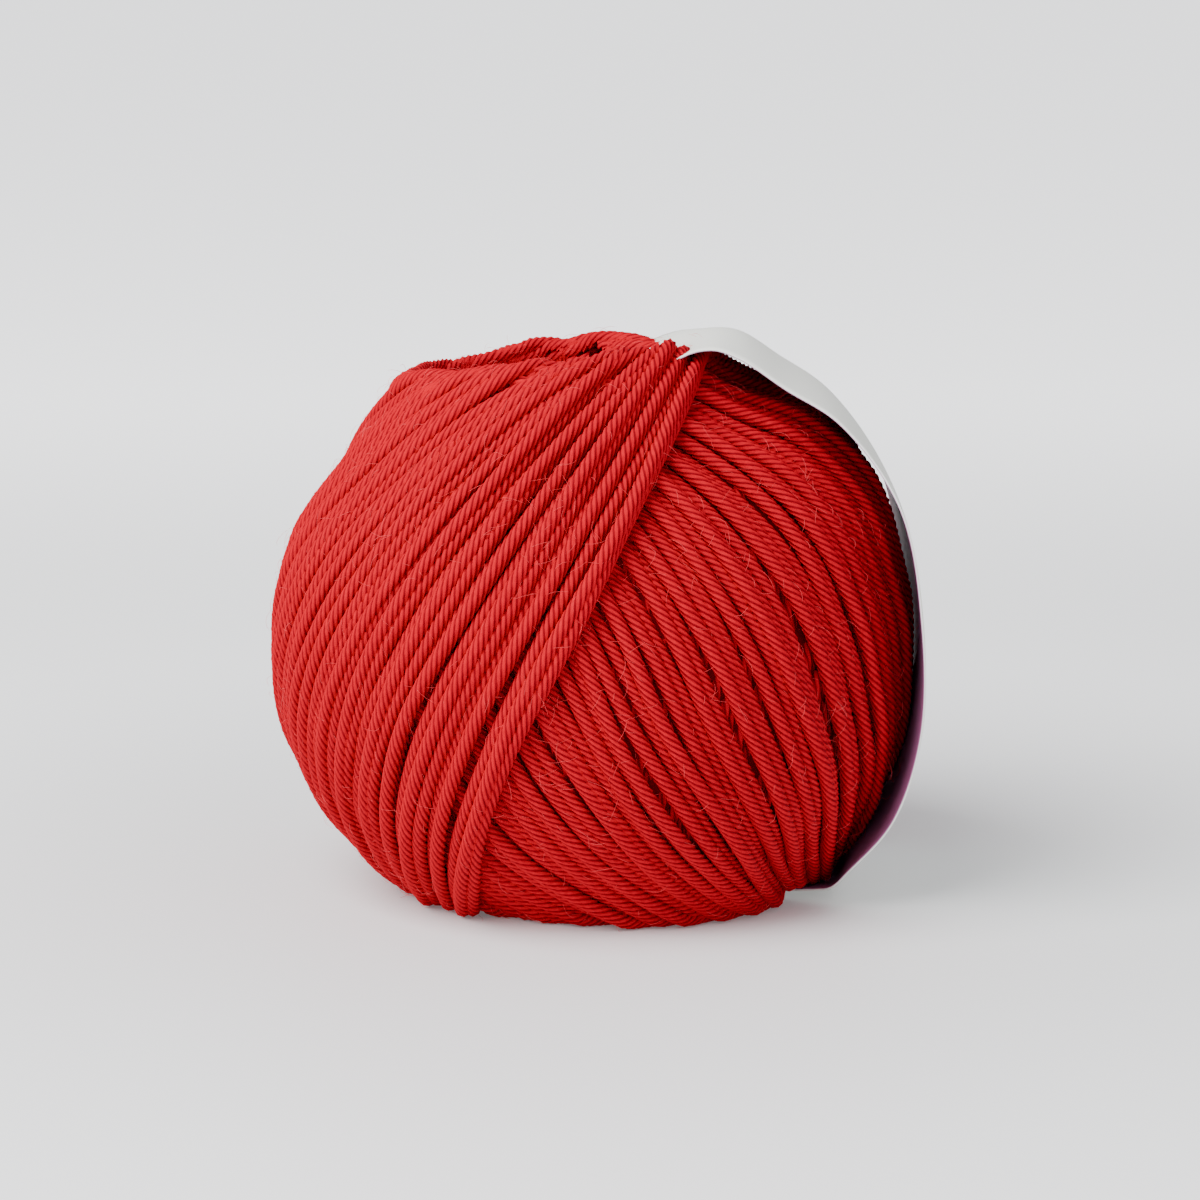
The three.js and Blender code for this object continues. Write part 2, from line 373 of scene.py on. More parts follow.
def pressed_in(azimuth, height, in_hollow):
    """How deep the turns lie: pressed in where the band passes, and lower away from it.

    The press fades with the angle from the band's middle. The fall of the rim goes with the cube
    of the mean of 1 and the cosine of the angle from where it is deepest.
    """
    high = smooth_step(*HIGH_RANGE, height)
    low = smooth_step(*LOW_RANGE, -height)
    shoulder = smooth_step(*SHOULDER_START, height) * (1 - smooth_step(*SHOULDER_END, height))
    depth = MID_PRESS + (RIM_PRESS - MID_PRESS) * high + (LOW_PRESS - MID_PRESS) * low
    depth = depth - SHOULDER * (shoulder * (1 - in_hollow))
    widest = RIM_HALF_ANGLE + (HOLLOW_HALF_ANGLE - RIM_HALF_ANGLE) * in_hollow
    half_angle = BAND_HALF_ANGLE + (widest - BAND_HALF_ANGLE) * np.maximum(high, low)
    turned = azimuth - BAND_AZIMUTH - (RIM_AZIMUTH - BAND_AZIMUTH) * high
    aside = np.abs(np.arctan2(np.sin(turned), np.cos(turned)))
    by_band = 1 - smooth_step(*PRESS_FADE, aside / half_angle)
    away = smooth_step(*RIM_FALL_RANGE, height)
    away = away * (0.5 + 0.5 * np.cos(azimuth - RIM_FALL_AZIMUTH)) ** 3
    return depth * by_band + RIM_FALL * away


def bed_level(x, y):
    """Height of what the yarn lies on: the floor, or the paper where the band passes under it.

    The paper rises at its edges with the square of the distance from its middle.
    """
    across = (y - FLOOR_ASIDE) / BED_HALF_WIDTH
    under_band = smooth_step(*BED_START, x) * (1 - smooth_step(*BED_SIDE, np.abs(across)))
    edges = BED_EDGE_RISE * smooth_step(*BED_EDGE_RANGE, x) * across**2
    return under_band * (BED_LEVEL + (edges + BED_END_RISE * smooth_step(*BED_END_RANGE, x)))


def surface_point(azimuth, along, offset):
    """A point of the ball, offset outwards from the meridian, pressed in, leaned and set down."""
    radius, height, normal_r, normal_z = on_meridian(along)
    in_hollow = smooth_step(0.5, -0.5, normal_r)
    offset = offset - pressed_in(azimuth, height, in_hollow)
    out = radius + normal_r * offset
    return set_down(np.stack([
        out * np.cos(azimuth),
        out * np.sin(azimuth),
        height + normal_z * offset,
    ], axis=-1))


def surface_normal(azimuth, along):
    """The ball's outward direction, leaned with it."""
    _, _, normal_r, normal_z = on_meridian(along)
    upright = np.stack([
        normal_r * np.cos(azimuth),
        normal_r * np.sin(azimuth),
        normal_z,
    ], axis=-1)
    return leaned(upright)


def taut_half_turn(turn_radius, samples):
    """Azimuth and distance along the meridian of one climb, from the lower rim to the upper.

    On a taut turn, radius times the sine of its angle to the meridian keeps one value, the radius
    at which it grazes the rim of the hollow. The climb is symmetric about the widest level, and
    is summed in steps that grow shorter towards the graze. The turn's length is given last.
    """
    table_along, table_radius, height, _, _ = meridian_table()
    crest = int(np.argmax(height))
    widest = table_along[int(np.argmax(table_radius))]
    graze = np.interp(turn_radius, table_radius[:crest], table_along[:crest])
    reach = widest - graze
    steps = 4000
    share = (np.arange(steps) + 0.5) / steps
    along = graze + reach * (1 - share) ** 2
    radius = np.interp(along, table_along, table_radius)
    slip = np.sqrt(np.maximum(radius * radius - turn_radius**2, 1e-6))
    step = 2 * reach * (1 - share) / steps
    azimuth = np.cumsum(turn_radius * step / (radius * slip))
    length = np.cumsum(step * radius / slip)
    azimuth = np.concatenate([-azimuth[::-1], [0], azimuth])
    length = np.concatenate([-length[::-1], [0], length])
    along = np.concatenate([2 * widest - along[::-1], [widest], along])
    stops = np.linspace(length[0], length[-1], samples)
    azimuth, along = np.interp(stops, length, azimuth), np.interp(stops, length, along)
    return azimuth, along, length[-1] - length[0]


def even_draw(count):
    """Draws between 0 and 1 of which neighbours are well apart: the golden section, stepped."""
    golden_section = 0.6180339887
    return (np.arange(count) * golden_section) % 1


def highest(azimuth, along, top, reach):
    """Marks the samples that are highest anywhere on the ball, seen along its surface normal.

    Each sample covers a disc of the given reach, domed down by the height of a half ball, on a
    grid of distance along the meridian and azimuth.
    """
    step = GRID_STEP
    columns = int(2 * math.pi * GRID_RADIUS / step)
    start = along.min() - 2 * reach
    rows = int((along.max() + 2 * reach - start) / step) + 1
    span = int(2.2 * reach / step)
    offsets = np.meshgrid(np.arange(-2, 4), np.arange(-span, span + 2), indexing="ij")
    row_offsets, column_offsets = (grid.ravel() for grid in offsets)
    radius = on_meridian(along)[0]
    row = (along - start) / step
    column = azimuth / (2 * math.pi) * columns
    cell_row = np.floor(row).astype(int)[:, None] + row_offsets
    cell_column = np.floor(column).astype(int)[:, None] + column_offsets
    aside = (cell_column - column[:, None]) * (2 * math.pi / columns) * radius[:, None]
    ahead = (cell_row - row[:, None]) * step
    dome = reach**2 - aside**2 - ahead**2
    sample, inside = np.nonzero(dome > 0)
    level = top[sample] - reach + np.sqrt(dome[sample, inside])
    cell = cell_row[sample, inside] * columns + cell_column[sample, inside] % columns
    order = np.argsort(level, kind="stable")
    owner = np.full(rows * columns, -1, np.int64)
    owner[cell[order]] = sample[order]
    seen = np.zeros(len(along), bool)
    seen[owner[owner >= 0]] = True
    return seen


def waves(rng, along, rows, sizes, counts, per=1):
    """Three sine waves added up on each row, of drawn size, number along the row and start."""
    shape = (rows, 1)
    return sum(
        rng.uniform(*sizes, shape) / per
        * np.sin(2 * math.pi * (rng.uniform(*counts, shape) * along + rng.uniform(size=shape)))
        for _ in range(3)
    )


def lay_turns(rng, yarn, turns, base_azimuth, base_along):
    """Azimuth, distance along the meridian, offset and level of the turns, a half turn to a row.

    A turn is a climb and a fall. Each climb and each fall starts under what was laid just before
    it and ends on top of it, so its height is layer (progress - 2 age), with age in rounds. Where
    turns crowd, they lie deeper in one another.
    """
    turn_radius = yarn.turn_radius / MM
    advance = 2 * math.pi / yarn.turns_per_round
    half_advance = math.pi + advance / 2
    base_azimuth = base_azimuth * half_advance / (base_azimuth[-1] - base_azimuth[0])
    progress = (base_azimuth - base_azimuth[0]) / half_advance
    halves = 2 * turns - 1
    half = np.arange(halves)
    climbs = half % 2 == 0
    age = (halves - 1 - half) / (2 * yarn.turns_per_round)

    # Turns keep no even spacing and sway a little, most at the widest level
    share = np.linspace(0, 1, HALF_SAMPLES)
    spacing = rng.uniform(-0.45, 0.45, halves) + 0.35 * np.sin(half / 3.7)
    sway = waves(rng, share, halves, (0.1, 0.36), (0.6, 3.2), per=40)
    azimuth = yarn.last_turn + ((half - halves + 1) * half_advance)[:, None] + base_azimuth
    azimuth = azimuth + (advance * spacing[:, None] + sway) * np.sin(math.pi * share)

    # A turn grazes each rim a drawn distance nearer to or further from the axis
    along = np.where(climbs[:, None], base_along, base_along[::-1])
    at_start = 1 - smooth_step(0, 0.3, share)
    at_end = smooth_step(0.7, 1, share)
    graze = rng.uniform(-1.4, 1.4, halves + 1) - 1.4 * np.append(age, 0)
    outward = np.where(climbs, -1, 1)[:, None]
    along = along + outward * (graze[1:, None] * at_end - graze[:-1, None] * at_start)

    # Crowding is how much nearer to each other turns lie here than at the widest level. It has a
    # limit near the rims, where the slip, the root of radius squared less turn radius squared,
    # would be 0.
    radius = on_meridian(along)[0]
    slip = np.sqrt(np.maximum(radius * radius - turn_radius**2, 90))
    crowding = math.sqrt(meridian_table()[1].max() ** 2 - turn_radius**2) / slip
    depth = np.minimum(1.35 * crowding, 2.1)
    draw = np.stack([even_draw(turns), (even_draw(turns) + 0.5) % 1], axis=1).ravel()[:halves]
    draw = draw + rng.uniform(-0.15, 0.15, halves)
    layer = 2.0 * (1 - 0.35 * smooth_step(1.5, 3.5, crowding))
    ripple = waves(rng, share, halves, (0.03, 0.09), (2, 9))
    offset = layer * (progress - 2 * age[:, None]) - depth * (1 - draw[:, None]) + ripple

    # A mean over neighbouring samples takes the steps out of the offset at the rims
    weights = np.hanning(19)[1:-1]
    padded = np.pad(offset.ravel(), len(weights) // 2, mode="edge")
    offset = np.convolve(padded, weights / weights.sum(), mode="valid").reshape(along.shape)
    offset = offset + (-0.8 + 0.95 * smooth_step(1.3, 3.5, crowding))
    level = 2 * np.floor(age)[:, None] + ((age % 1)[:, None] >= progress)
    return azimuth, along, offset, level


def lay_walls(rng):
    """The same values for the strands down the walls of the hollows, a strand to a row.

    Those of the upper hollow come first. Each keeps one slope and sways by a sine wave.
    """
    table_along, radius, height, _, _ = meridian_table()
    widest = table_along[int(np.argmax(radius))]
    crest = table_along[int(np.argmax(height))]
    count = 2 * WALL_STRANDS
    deep = np.linspace(crest + WALL_REACH[0], crest + WALL_REACH[1], WALL_SAMPLES)
    twist = np.cumsum((deep[1] - deep[0]) / (math.tan(WALL_SLOPE) * on_meridian(deep)[0]))
    start = 2 * math.pi * (np.arange(count) + rng.uniform(-0.2, 0.2, count)) / WALL_STRANDS
    share = np.linspace(0, 1, WALL_SAMPLES)
    waviness, begin = rng.uniform(3, 7, (count, 1)), rng.uniform(0, 6, (count, 1))
    upper = (np.arange(count) < WALL_STRANDS)[:, None]
    sway = 0.03 * np.sin(waviness * share + begin)
    azimuth = start[:, None] + sway + np.where(upper, -twist, twist)
    along = np.where(upper, deep, 2 * widest - deep)
    offset = np.broadcast_to(rng.uniform(-0.5, 0.1, (count, 1)) - WALL_DEPTH, along.shape)
    return azimuth, along, offset, np.full(along.shape, 2.0)


@functools.lru_cache(maxsize=1)
def winding():
    """Where every sample of the yarn lies, the strands of the hollows first, as flat arrays."""
    yarn = bpy.context.scene.yarn_ball
    rng = np.random.default_rng(7)
    turns = int(yarn.turns_per_round * yarn.rounds)
    base_azimuth, base_along, length = taut_half_turn(yarn.turn_radius / MM, HALF_SAMPLES)
    laid = lay_turns(rng, yarn, turns, base_azimuth, base_along)
    walls = lay_walls(rng)
    azimuth, along, offset, level = (
        np.concatenate([wall.ravel(), turn.ravel()]) for wall, turn in zip(walls, laid)
    )
    strand = np.concatenate([
        np.repeat(np.arange(2 * WALL_STRANDS), WALL_SAMPLES),
        np.repeat(2 * WALL_STRANDS + np.arange(2 * turns - 1) // 2, HALF_SAMPLES),
    ])
    return {
        "azimuth": azimuth + TWIST * on_meridian(along)[1],
        "along": along,
        "offset": offset,
        "strand": strand,
        "level": level,
        "seen": highest(azimuth, along, offset, yarn.strand / MM / 2),
        "turns": turns,
        "sample_length": length / (HALF_SAMPLES - 1),
    }


def widen(mask, by):
    """Marks the neighbours of every marked sample, as many as asked on each side."""
    wide = mask.copy()
    for shift in range(1, by + 1):
        wide[shift:] |= mask[:-shift]
        wide[:-shift] |= mask[shift:]
    return wide


def laid_strands():
    """Centres and outward directions of every sample where it lies, and which of them show.

    Nothing lies lower than its layer on the floor: the height over that level is the mean of the
    drop to it and the root of the drop's square and that of a small blend. Short gaps are shown.
    """
    wound = winding()
    radius = bpy.context.scene.yarn_ball.strand / MM / 2
    layer_height = 1.5
    blend = 0.3
    shortest_gap = 4
    centres = surface_point(wound["azimuth"], wound["along"], wound["offset"])
    normals = surface_normal(wound["azimuth"], wound["along"])
    level = radius + layer_height * wound["level"] + bed_level(centres[:, 0], centres[:, 1])
    drop = centres[:, 2] - level
    centres[:, 2] = level + 0.5 * (drop + np.sqrt(drop**2 + blend**2))
    shown = widen(wound["seen"], 2)
    gap_ends = np.flatnonzero(np.diff(np.concatenate([[0], ~shown, [0]]).astype(int)))
    for low, high in gap_ends.reshape(-1, 2):
        if high - low < shortest_gap:
            shown[low:high] = True
    return centres, normals, shown


def material_with(name):
    """A new node material and its Principled shader."""
    material = bpy.data.materials.new(name)
    material.use_nodes = True
    return material, material.node_tree, material.node_tree.nodes["Principled BSDF"]


def new_mesh(name, vertices, faces):
    """A smooth mesh object, from points in millimetres and a row of corners for each face."""
    count, sides = faces.shape
    mesh = bpy.data.meshes.new(name)
    mesh.vertices.add(len(vertices))
    mesh.vertices.foreach_set("co", (vertices * MM).astype(np.float32).ravel())
    mesh.loops.add(faces.size)
    mesh.loops.foreach_set("vertex_index", faces.astype(np.int32).ravel())
    mesh.polygons.add(count)
    mesh.polygons.foreach_set("loop_start", np.arange(0, faces.size, sides, dtype=np.int32))
    mesh.polygons.foreach_set("loop_total", np.full(count, sides, np.int32))
    mesh.polygons.foreach_set("use_smooth", np.full(count, True))
    mesh.update(calc_edges=True)
    mesh.validate()
    thing = bpy.data.objects.new(name, mesh)
    bpy.context.scene.collection.objects.link(thing)
    return thing


def closed_grid(rows, columns):
    """Corners of the faces of a grid of points that closes on itself both ways."""
    row = np.arange(rows)[:, None]
    column = np.arange(columns)[None]
    here, after = row * columns, (row + 1) % rows * columns
    beside = (column + 1) % columns
    faces = np.stack([here + column, here + beside, after + beside, after + column], axis=-1)
    return faces.reshape(-1, 4)


def add_vectors(piece, name, vectors):
    """Keeps a vector for each point of a piece, for its material to read."""
    attribute = piece.data.attributes.new(name, "FLOAT_VECTOR", "POINT")
    attribute.data.foreach_set("vector", vectors.astype(np.float32).ravel())


def plied_tubes(name, centres, normals, runs, phase, strand, plies):
    """Plied strands along runs of samples, as one mesh.

    Round each centre stands a ring with two points to a ply, one on its crest and one in the
    valley beside it. The ring turns as the strand goes on, so that its points follow the plies.
    Faces that look back into the ball, further round than the shown angle, are left out.
    """
    ring = 2 * plies
    starts = runs[1:] != runs[:-1]
    first = np.concatenate([[True], starts])
    last = np.concatenate([starts, [True]])
    chords = centres[1:] - centres[:-1]
    ahead = np.vstack([chords, chords[-1:]])
    behind = np.vstack([chords[:1], chords])
    tangents = np.where(first[:, None], ahead, np.where(last[:, None], behind, ahead + behind))
    tangents /= np.linalg.norm(tangents, axis=1)[:, None] + 1e-12
    side = np.cross(tangents, normals)
    side /= np.linalg.norm(side, axis=1)[:, None] + 1e-12
    out = np.cross(side, tangents)
    column = np.arange(ring)
    angle = column * (2 * math.pi / ring) - phase[:, None]
    crest = np.where(column % 2 == 0, 1.0, 0.0)
    radius = strand / 2 * (VALLEY + (1 - VALLEY) * crest)
    vertices = centres[:, None] + radius[None, :, None] * (
        np.cos(angle)[..., None] * out[:, None] + np.sin(angle)[..., None] * side[:, None]
    )
    joined = np.flatnonzero(~last)
    middle = (angle[joined] + angle[joined + 1]) / 2 + math.pi / ring
    away = np.abs((middle + math.pi) % (2 * math.pi) - math.pi)
    row, kept = np.nonzero(away < SHOWN_ANGLE)
    a = joined[row] * ring + kept
    b = joined[row] * ring + (kept + 1) % ring
    quads = np.stack([a, a + ring, b + ring, b], axis=-1)
    used, corners = np.unique(quads, return_inverse=True)
    tubes = new_mesh(name, vertices.reshape(-1, 3)[used], corners.reshape(quads.shape))
    lay = np.empty((len(centres), ring, 3), np.float32)
    lay[..., 0] = crest
    lay[..., 1] = phase[:, None]
    lay[..., 2] = runs[:, None] * RUN_STEP
    add_vectors(tubes, "ply_lay", lay.reshape(-1, 3)[used])
    return tubes


def add_node(tree, kind, inputs, **settings):
    """A new node with its settings, each input given its value or linked to a socket."""
    node = tree.nodes.new(kind)
    for name, value in settings.items():
        setattr(node, name, value)
    set_inputs(tree, node, inputs)
    return node


def set_inputs(tree, node, inputs):
    """Gives inputs of a node, by name or number, their values or links them to sockets."""
    for name, value in inputs.items():
        if isinstance(value, bpy.types.NodeSocket):
            tree.links.new(value, node.inputs[name])
        else:
            node.inputs[name].default_value = value


def colour_ramp(tree, source, first, last, *between):
    """Colour read off a ramp by a value, through stops of a place and a colour."""
    ramp = add_node(tree, "ShaderNodeValToRGB", {"Fac": source})
    elements = ramp.color_ramp.elements
    for element, (place, colour) in zip(elements, (first, last)):
        element.position = place
        element.color = (*colour, 1)
    for place, colour in between:
        elements.new(place).color = (*colour, 1)
    return ramp.outputs["Color"]


def lay_parts(tree, name):
    """The three parts of the vector that a piece keeps for its material."""
    lay = add_node(tree, "ShaderNodeAttribute", {}, attribute_name=name)
    parts = add_node(tree, "ShaderNodeSeparateXYZ", {"Vector": lay.outputs["Vector"]})
    return parts.outputs["X"], parts.outputs["Y"], parts.outputs["Z"]


def wool_material():
    """Matte red wool with painted shade between the plies and streaks along its fibres."""
    yarn = bpy.context.scene.yarn_ball
    material, tree, shader = material_with("wool_yarn")
    crest, phase, run = lay_parts(tree, "ply_lay")

    across = add_node(tree, "ShaderNodeMath", {0: crest, 1: 3.2}, operation="MULTIPLY")
    place = add_node(tree, "ShaderNodeCombineXYZ", {"X": across.outputs[0], "Y": phase, "Z": run})
    fibres = add_node(tree, "ShaderNodeTexNoise", {
        "Vector": place.outputs[0], "Scale": 1.6, "Detail": 4,
    }).outputs["Fac"]

    # Painted shade: the ramp darkens the wool to the shade colour in the valleys between the
    # plies; the fibre streaks are the wool's own uneven tone
    shaded_and_streaked = add_node(tree, "ShaderNodeMix", {}, data_type="RGBA", blend_type="MULTIPLY")
    set_inputs(tree, shaded_and_streaked, {
        "Factor": 1,
        "A": colour_ramp(tree, crest, (0.0, yarn.shade_colour), (0.55, yarn.colour)),
        "B": colour_ramp(tree, fibres, (0.3, (0.72, 0.6, 0.6)), (0.7, (1, 1, 1))),
    })

    rounded = add_node(tree, "ShaderNodeMapRange", {
        "Value": crest, "From Max": 0.7,
    }, interpolation_type="SMOOTHSTEP")
    height = add_node(tree, "ShaderNodeMath", {
        0: fibres, 1: 0.35, 2: rounded.outputs[0],
    }, operation="MULTIPLY_ADD")
    bump = add_node(tree, "ShaderNodeBump", {
        "Strength": 0.7, "Distance": 0.00012, "Height": height.outputs[0],
    })
    set_inputs(tree, shader, {
        "Base Color": shaded_and_streaked.outputs["Result"],
        "Normal": bump.outputs[0],
        "Roughness": 0.78,
        "Specular IOR Level": 0.06,
    })
    return material


def plain_material(name, colour, roughness, specular):
    """A material of one colour."""
    material, tree, shader = material_with(name)
    set_inputs(tree, shader, {
        "Base Color": (*colour, 1),
        "Roughness": roughness,
        "Specular IOR Level": specular,
    })
    return material


def finish_piece(piece, material, replaced):
    """Gives a piece its material and rides it on the one body, in place of the named node."""
    piece.data.materials.append(material)
    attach(piece, "root")
    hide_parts(replaced)


class YARNBALL_OT_turns(bpy.types.Operator):
    """Wind the turns of plied yarn over the ball and down the walls of its hollows"""

    bl_idname = "yarnball.turns"
    bl_label = "Wind Turns"

    def execute(self, context):
        yarn = context.scene.yarn_ball
        strand = yarn.strand / MM
        wound = winding()
        centres, normals, shown = laid_strands()
        phase = 2 * math.pi * np.arange(len(centres)) * wound["sample_length"] * MM / yarn.ply_lead
        material = wool_material()
        turn = wound["strand"] - 2 * WALL_STRANDS
        part = np.searchsorted(PIECE_ENDS * wound["turns"], turn, side="right")
        groups = [
            (f"turns_{number + 1}", (turn >= 0) & (part == number))
            for number in range(len(PIECE_ENDS) + 1)
        ]
        groups.append(("hollow_strands", turn < 0))
        for name, mask in groups:
            # A run ends where samples are hidden, and each strand of a wall is a run of its own
            index = np.flatnonzero(shown & mask)
            wall = turn[index] < 0
            breaks = np.diff(index, prepend=-9) > 1
            breaks |= wall & (np.diff(turn[index], prepend=-9) != 0)
            run = np.cumsum(breaks)
            keep = np.bincount(run)[run] >= SHORTEST_RUN
            index, run = index[keep], run[keep]
            tubes = plied_tubes(
                name, centres[index], normals[index], run, phase[index], strand, yarn.plies,
            )
            finish_piece(tubes, material, "yarn_ball")
        return {"FINISHED"}


def band_line(count):
    """Stations round the band's middle line: x, z, droop, curl, near rise and place aside."""
    angle = np.radians(OUTER_RUN[:, 0])
    outer = np.column_stack([
        CENTRE_X + OUTER_RUN[:, 1] * np.cos(angle),
        CENTRE_Z + OUTER_RUN[:, 1] * np.sin(angle),
        OUTER_RUN[:, 2],
        np.zeros(len(angle)),
        OUTER_RUN[:, 3],
        OUTER_RUN[:, 4],
    ])
    inner = INNER_RUN + np.array([CENTRE_X, CENTRE_Z, 0, 0, 0, 0])
    level = np.zeros(len(FLOOR_RUN))
    floor = np.column_stack([CENTRE_X + FLOOR_RUN[:, 0], level, FLOOR_RUN[:, 1:]])
    stations, length = even_curve(np.vstack([outer, inner, floor]), count, closed=True)
    stations[:, 3] = np.clip(stations[:, 3], 0, 1)
    return stations, length


def hole_axis(height):
    """Where the leaning axis of the hole is at a height over the widest level."""
    return CENTRE_X - height * math.tan(LEAN) + creep(height)


def band_surface(stations, across, width):
    """Points of the band's middle sheet: across runs from -1 at the near edge to 1 at the far.

    A section is an arc whose curvature is the curl over the distance to the hole's axis; it
    droops with the square of the distance from its middle and tilts in proportion to it.
    """
    x, z, droop, curl, rise, aside = (column[:, None] for column in stations.T)
    curvature = np.maximum(curl, 1e-4) / (x - hole_axis(z - CENTRE_Z))
    turned = width / 2 * across * curvature
    out_x, out_z = x - CENTRE_X, z - CENTRE_Z
    out = np.hypot(out_x, out_z)
    sag = droop * across**2 / out
    return np.stack([
        x - (1 - np.cos(turned)) / curvature - sag * out_x,
        aside + np.sin(turned) / curvature,
        z - sag * out_z - rise * across,
    ], axis=-1)


class YARNBALL_OT_band(bpy.types.Operator):
    """Loop the paper band round one side of the ball and back down the centre hole"""

    bl_idname = "yarnball.band"
    bl_label = "Loop Band"

    def execute(self, context):
        band = context.scene.paper_band
        rows, columns = BAND_GRID
        stations, length = band_line(rows)
        across = np.linspace(-1, 1, columns)
        middle = band_surface(stations, across, band.width / MM)
        along = np.roll(middle, -1, axis=0) - np.roll(middle, 1, axis=0)
        sideways = np.gradient(middle, axis=1)
        normal = np.cross(along, sideways)
        normal /= np.linalg.norm(normal, axis=-1)[..., None]
        outward = middle - np.array([CENTRE_X, 0, CENTRE_Z])
        widest = int(np.argmax(stations[:, 0]))
        if (normal[widest] * outward[widest]).sum() < 0:
            normal = -normal

        # The outer face and back along the inner one, set on the floor
        half = band.thickness / MM / 2
        ring = np.concatenate([middle + half * normal, (middle - half * normal)[:, ::-1]], axis=1)
        ring[..., 2] += half - min(ring[..., 2].min(), 0)
        ring[..., 2] = np.maximum(ring[..., 2], 0.02)
        sheet = new_mesh("paper_band_sheet", ring.reshape(-1, 3), closed_grid(*ring.shape[:2]))

        # Distance along, place across, and 0 on the outer face or 1 on the inner one
        lay = np.zeros(ring.shape)
        lay[..., 0] = np.arange(rows)[:, None] / rows * length
        lay[..., 1] = np.concatenate([across, across[::-1]])
        lay[:, columns:, 2] = 1
        add_vectors(sheet, "paper_lay", lay)
        finish_piece(sheet, paper_material(), "paper_band")
        return {"FINISHED"}


def paper_material():
    """Matte paper: cream outside, mauve inside, white at the cut edge."""
    band = bpy.context.scene.paper_band
    material, tree, shader = material_with("band_paper")
    _, _, side = lay_parts(tree, "paper_lay")
    cut_edge = (0.85, 0.85, 0.84)
    set_inputs(tree, shader, {
        "Base Color": colour_ramp(
            tree, side, (0.02, band.outside), (0.98, band.inside), (0.5, cut_edge),
        ),
        "Roughness": 0.55,
        "Specular IOR Level": 0.3,
    })
    return material


def fibre_faces():
    """Triangles of one fibre: a fan at its root, the walls between its rings, a fan at its tip."""
    a = np.arange(FIBRE_SIDES)
    b = (a + 1) % FIBRE_SIDES
    rings = FIBRE_PLACES - 2
    ring = 1 + FIBRE_SIDES * np.arange(rings - 1)[:, None]
    after = ring + FIBRE_SIDES
    walls = np.stack([ring + a, ring + b, after + b, after + a], axis=-1).reshape(-1, 4)
    last = 1 + FIBRE_SIDES * (rings - 1)
    root_fan = np.stack([np.zeros(FIBRE_SIDES, int), 1 + b, 1 + a], axis=-1)
    tip_fan = np.stack([np.full(FIBRE_SIDES, last + FIBRE_SIDES), last + a, last + b], axis=-1)
    return np.vstack([root_fan, walls[:, [0, 1, 2]], walls[:, [0, 2, 3]], tip_fan])


class YARNBALL_OT_fibres(bpy.types.Operator):
    """Raise the stray fibres that stand off the strands as a faint halo"""

    bl_idname = "yarnball.fibres"
    bl_label = "Raise Fibres"

    def execute(self, context):
        yarn = context.scene.yarn_ball
        radius = yarn.strand / MM / 2
        centres, normals, shown = laid_strands()
        rng = np.random.default_rng(3)
        chosen = rng.choice(np.flatnonzero(shown[1:-1]) + 1, yarn.fibres)
        count = len(chosen)
        ahead = centres[chosen + 1] - centres[chosen - 1]
        ahead /= np.linalg.norm(ahead, axis=1)[:, None] + 1e-9
        side = np.cross(ahead, normals[chosen])
        angle = rng.uniform(-1.2, 1.2, (count, 1))
        out = np.cos(angle) * normals[chosen] + np.sin(angle) * side
        root = centres[chosen] + 0.85 * radius * out
        heading = rng.uniform(-1, 1, (count, 1)) * ahead + rng.uniform(-1, 1, (count, 1)) * side
        heading /= np.linalg.norm(heading, axis=1)[:, None] + 1e-9
        length = rng.uniform(1.0, 3.4, (count, 1))
        lift = rng.uniform(0.15, 0.45, (count, 1)) * rng.uniform(0.5, 1.6, (count, 1))
        bend = rng.uniform(-0.5, 0.5, (count, 1))
        sideways = np.cross(heading, out)

        # A fibre climbs and falls again like a thrown ball, and bends aside with the square of t
        t = np.linspace(0, 1, FIBRE_PLACES)[None, :, None]
        line = (
            root[:, None]
            + length[:, None] * t * heading[:, None]
            + length[:, None] * bend[:, None] * t**2 * sideways[:, None]
            + length[:, None] * lift[:, None] * 2.2 * t * (1.25 - t) * out[:, None]
        )
        line[..., 2] = np.maximum(line[..., 2], 0.1)
        girth = yarn.fibre / MM / 2
        corner = (np.arange(FIBRE_SIDES) * (2 * math.pi / FIBRE_SIDES))[:, None]
        ring = line[:, 1:-1, None] + girth * (
            np.cos(corner) * out[:, None, None] + np.sin(corner) * sideways[:, None, None]
        )
        vertices = np.concatenate([line[:, :1], ring.reshape(count, -1, 3), line[:, -1:]], axis=1)
        faces = fibre_faces()
        faces = (faces[None] + vertices.shape[1] * np.arange(count)[:, None, None]).reshape(-1, 3)
        fibres = new_mesh("stray_fibres", vertices.reshape(-1, 3), faces)
        material = plain_material("wool_fibre", yarn.fibre_colour, roughness=0.9, specular=0.1)
        finish_piece(fibres, material, "yarn_ball")
        return {"FINISHED"}


class YARNBALL_OT_core(bpy.types.Operator):
    """Fill the ball below its turns with a dark core in the shade colour: painted shade of the
    yarn deep inside
    """

    bl_idname = "yarnball.core"
    bl_label = "Fill Core"

    def execute(self, context):
        rows, columns = CORE_GRID
        along = np.linspace(0, meridian_table()[0][-1], rows, endpoint=False)[:, None]
        azimuth = np.linspace(0, 2 * math.pi, columns, endpoint=False)[None]
        points = surface_point(azimuth, along, -CORE_DEPTH)
        points[..., 2] = np.maximum(points[..., 2], CORE_FLOOR)
        core = new_mesh("yarn_core", points.reshape(-1, 3), closed_grid(rows, columns)[:, ::-1])
        # Painted shade: the core takes the colour of the shade deep between the turns
        shade = context.scene.yarn_ball.shade_colour
        material = plain_material("yarn_core_painted_shade", shade, roughness=1, specular=0)
        finish_piece(core, material, "yarn_ball")
        return {"FINISHED"}


